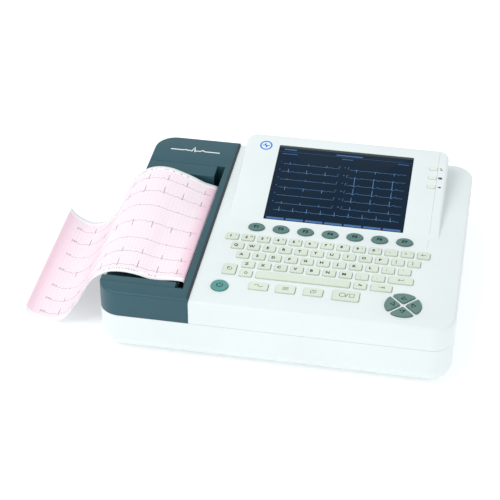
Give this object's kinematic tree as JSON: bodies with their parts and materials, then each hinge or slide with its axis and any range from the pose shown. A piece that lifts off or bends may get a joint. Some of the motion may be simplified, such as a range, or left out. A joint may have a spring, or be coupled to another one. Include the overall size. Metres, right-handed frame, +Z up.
{
  "type": "electrocardiograph",
  "caption": "Desktop electrocardiograph with a tilted screen, a full keyboard and a side chart printer under a sliding paper door.",
  "frame": {"origin": "on the table, under the middle of the whole object with its chart paper out; the middle of the case is 53 mm to the right of it", "axes": "+X to the operator's right, +Y to the back panel, +Z up"},
  "size_m": [0.5259, 0.345, 0.1285],
  "materials": {
    "case_plastic": "fine satin",
    "slate_plastic": "fine satin",
    "cream_key": "satin",
    "grey_key": "satin",
    "teal_key": "satin",
    "steel": "brushed",
    "zinc_steel": "zinc plated",
    "aluminium": "anodised",
    "brass": "plain",
    "nylon": "natural",
    "rubber": "matte",
    "black_plastic": "satin",
    "board": "solder resist",
    "battery_wrap": "shrink sleeve",
    "paper": "thermal chart paper",
    "lens": "frosted",
    "screen_glass": "anti-glare"
  },
  "bodies": {
    "case": {"lower_case": "case_plastic", "upper_case": "case_plastic", "printer_frame": "slate_plastic", "printer_chassis": "zinc_steel", "drive_motor": "zinc_steel", "paper_tray": "black_plastic", "door_magnets": "zinc_steel", "display_window": "screen_glass", "lcd_panel": "zinc_steel", "indicator_lenses": "lens", "main_board": "board", "keypad_board": "board", "power_supply": "aluminium", "battery_pack": "battery_wrap", "battery_cover": "case_plastic", "speaker": "black_plastic", "mains_inlet": "black_plastic", "earth_stud": "brass", "patient_socket": "zinc_steel", "data_ports": "zinc_steel", "feet": "rubber", "case_screws": "steel"},
    "door": {"paper_door": "slate_plastic", "tear_bar": "steel", "platen_bushes": "brass", "chart_paper": "paper"},
    "platen": {"platen_roller": "rubber", "platen_shaft": "steel", "platen_gear": "nylon"},
    "idler": {"idler_gear": "nylon"},
    "pinion": {"motor_pinion": "brass"},
    "head": {"print_head": "aluminium", "head_springs": "steel"},
    "roll": {"paper_roll": "paper"},
    "rocker": {"mains_switch": "black_plastic"},
    "power_key": {"power_key": "teal_key"},
    "start_stop_key": {"start_stop_key": "cream_key"},
    "mode_key": {"mode_key": "cream_key"},
    "menu_key": {"menu_key": "cream_key"},
    "copy_key": {"copy_key": "cream_key"},
    "esc_key": {"esc_key": "cream_key"},
    "enter_key": {"enter_key": "cream_key"},
    "space_key": {"space_key": "cream_key"},
    "tab_key": {"tab_key": "cream_key"},
    "arrow_up_key": {"arrow_up_key": "grey_key"},
    "arrow_down_key": {"arrow_down_key": "grey_key"},
    "arrow_left_key": {"arrow_left_key": "grey_key"},
    "arrow_right_key": {"arrow_right_key": "grey_key"},
    "number_row_keys": {"number_row_keys": "cream_key"},
    "upper_row_keys": {"upper_row_keys": "cream_key"},
    "home_row_keys": {"home_row_keys": "cream_key"},
    "lower_row_keys": {"lower_row_keys": "cream_key"},
    "shift_fn_keys": {"shift_fn_keys": "cream_key"},
    "f1_key": {"f1_key": "grey_key"},
    "f2_key": {"f2_key": "grey_key"},
    "f3_key": {"f3_key": "grey_key"},
    "f4_key": {"f4_key": "grey_key"},
    "f5_key": {"f5_key": "grey_key"},
    "f6_key": {"f6_key": "grey_key"},
    "f7_key": {"f7_key": "grey_key"}
  },
  "joints": [
    {"name": "door_slide", "type": "slide", "parent": "case", "child": "door", "axis": [-1, 0, 0], "range_m": [0, 0.07]},
    {"name": "paper_roll_spin", "type": "hinge", "parent": "case", "child": "roll", "pos_m": [-0.107, -0.026, 0.034], "axis": [0, 1, 0], "continuous": true},
    {"name": "platen_spin", "type": "hinge", "parent": "door", "child": "platen", "pos_m": [-0.068, -0.026, 0.0685], "axis": [0, 1, 0], "continuous": true},
    {"name": "idler_spin", "type": "hinge", "parent": "case", "child": "idler", "pos_m": [-0.048, 0.089, 0.0685], "axis": [0, 1, 0], "continuous": true},
    {"name": "pinion_spin", "type": "hinge", "parent": "case", "child": "pinion", "pos_m": [-0.03345, 0.089, 0.0601], "axis": [0, 1, 0], "continuous": true},
    {"name": "head_pivot", "type": "hinge", "parent": "case", "child": "head", "pos_m": [-0.053, -0.026, 0.056], "axis": [0, 1, 0], "range_deg": [0, 2], "stiffness_Nm_per_rad": 2.4, "springref_deg": -2.86},
    {"name": "rocker_tilt", "type": "hinge", "parent": "case", "child": "rocker", "pos_m": [0.218, 0.166, 0.039], "axis": [1, 0, 0], "range_deg": [-16, 0]},
    {"name": "power_press", "type": "slide", "parent": "case", "child": "power_key", "axis": [0, 0.0294, -0.9996], "range_m": [0, 0.0015], "stiffness_N_per_m": 300, "springref_m": -0.002},
    {"name": "start_stop_press", "type": "slide", "parent": "case", "child": "start_stop_key", "axis": [0, 0.0294, -0.9996], "range_m": [0, 0.0015], "stiffness_N_per_m": 300, "springref_m": -0.002},
    {"name": "mode_press", "type": "slide", "parent": "case", "child": "mode_key", "axis": [0, 0.0294, -0.9996], "range_m": [0, 0.0015], "stiffness_N_per_m": 300, "springref_m": -0.002},
    {"name": "menu_press", "type": "slide", "parent": "case", "child": "menu_key", "axis": [0, 0.0294, -0.9996], "range_m": [0, 0.0015], "stiffness_N_per_m": 300, "springref_m": -0.002},
    {"name": "copy_press", "type": "slide", "parent": "case", "child": "copy_key", "axis": [0, 0.0294, -0.9996], "range_m": [0, 0.0015], "stiffness_N_per_m": 300, "springref_m": -0.002},
    {"name": "esc_press", "type": "slide", "parent": "case", "child": "esc_key", "axis": [0, 0.0294, -0.9996], "range_m": [0, 0.0015], "stiffness_N_per_m": 300, "springref_m": -0.002},
    {"name": "enter_press", "type": "slide", "parent": "case", "child": "enter_key", "axis": [0, 0.0294, -0.9996], "range_m": [0, 0.0015], "stiffness_N_per_m": 300, "springref_m": -0.002},
    {"name": "space_press", "type": "slide", "parent": "case", "child": "space_key", "axis": [0, 0.0294, -0.9996], "range_m": [0, 0.0015], "stiffness_N_per_m": 300, "springref_m": -0.002},
    {"name": "tab_press", "type": "slide", "parent": "case", "child": "tab_key", "axis": [0, 0.0294, -0.9996], "range_m": [0, 0.0015], "stiffness_N_per_m": 300, "springref_m": -0.002},
    {"name": "arrow_up_press", "type": "slide", "parent": "case", "child": "arrow_up_key", "axis": [0, 0.0294, -0.9996], "range_m": [0, 0.0015], "stiffness_N_per_m": 300, "springref_m": -0.002},
    {"name": "arrow_down_press", "type": "slide", "parent": "case", "child": "arrow_down_key", "axis": [0, 0.0294, -0.9996], "range_m": [0, 0.0015], "stiffness_N_per_m": 300, "springref_m": -0.002},
    {"name": "arrow_left_press", "type": "slide", "parent": "case", "child": "arrow_left_key", "axis": [0, 0.0294, -0.9996], "range_m": [0, 0.0015], "stiffness_N_per_m": 300, "springref_m": -0.002},
    {"name": "arrow_right_press", "type": "slide", "parent": "case", "child": "arrow_right_key", "axis": [0, 0.0294, -0.9996], "range_m": [0, 0.0015], "stiffness_N_per_m": 300, "springref_m": -0.002},
    {"name": "number_row_press", "type": "slide", "parent": "case", "child": "number_row_keys", "axis": [0, 0.0294, -0.9996], "range_m": [0, 0.0015], "stiffness_N_per_m": 300, "springref_m": -0.002},
    {"name": "upper_row_press", "type": "slide", "parent": "case", "child": "upper_row_keys", "axis": [0, 0.0294, -0.9996], "range_m": [0, 0.0015], "stiffness_N_per_m": 300, "springref_m": -0.002},
    {"name": "home_row_press", "type": "slide", "parent": "case", "child": "home_row_keys", "axis": [0, 0.0294, -0.9996], "range_m": [0, 0.0015], "stiffness_N_per_m": 300, "springref_m": -0.002},
    {"name": "lower_row_press", "type": "slide", "parent": "case", "child": "lower_row_keys", "axis": [0, 0.0294, -0.9996], "range_m": [0, 0.0015], "stiffness_N_per_m": 300, "springref_m": -0.002},
    {"name": "shift_fn_press", "type": "slide", "parent": "case", "child": "shift_fn_keys", "axis": [0, 0.0294, -0.9996], "range_m": [0, 0.0015], "stiffness_N_per_m": 300, "springref_m": -0.002},
    {"name": "f1_press", "type": "slide", "parent": "case", "child": "f1_key", "axis": [0, 0.0294, -0.9996], "range_m": [0, 0.0015], "stiffness_N_per_m": 300, "springref_m": -0.002},
    {"name": "f2_press", "type": "slide", "parent": "case", "child": "f2_key", "axis": [0, 0.0294, -0.9996], "range_m": [0, 0.0015], "stiffness_N_per_m": 300, "springref_m": -0.002},
    {"name": "f3_press", "type": "slide", "parent": "case", "child": "f3_key", "axis": [0, 0.0294, -0.9996], "range_m": [0, 0.0015], "stiffness_N_per_m": 300, "springref_m": -0.002},
    {"name": "f4_press", "type": "slide", "parent": "case", "child": "f4_key", "axis": [0, 0.0294, -0.9996], "range_m": [0, 0.0015], "stiffness_N_per_m": 300, "springref_m": -0.002},
    {"name": "f5_press", "type": "slide", "parent": "case", "child": "f5_key", "axis": [0, 0.0294, -0.9996], "range_m": [0, 0.0015], "stiffness_N_per_m": 300, "springref_m": -0.002},
    {"name": "f6_press", "type": "slide", "parent": "case", "child": "f6_key", "axis": [0, 0.0294, -0.9996], "range_m": [0, 0.0015], "stiffness_N_per_m": 300, "springref_m": -0.002},
    {"name": "f7_press", "type": "slide", "parent": "case", "child": "f7_key", "axis": [0, 0.0294, -0.9996], "range_m": [0, 0.0015], "stiffness_N_per_m": 300, "springref_m": -0.002}
  ],
  "couplings": [
    {"joint": "platen_spin", "follows": "paper_roll_spin", "ratio": -3.3333},
    {"joint": "idler_spin", "follows": "paper_roll_spin", "ratio": 2.2222},
    {"joint": "pinion_spin", "follows": "paper_roll_spin", "ratio": -5.5556}
  ]
}
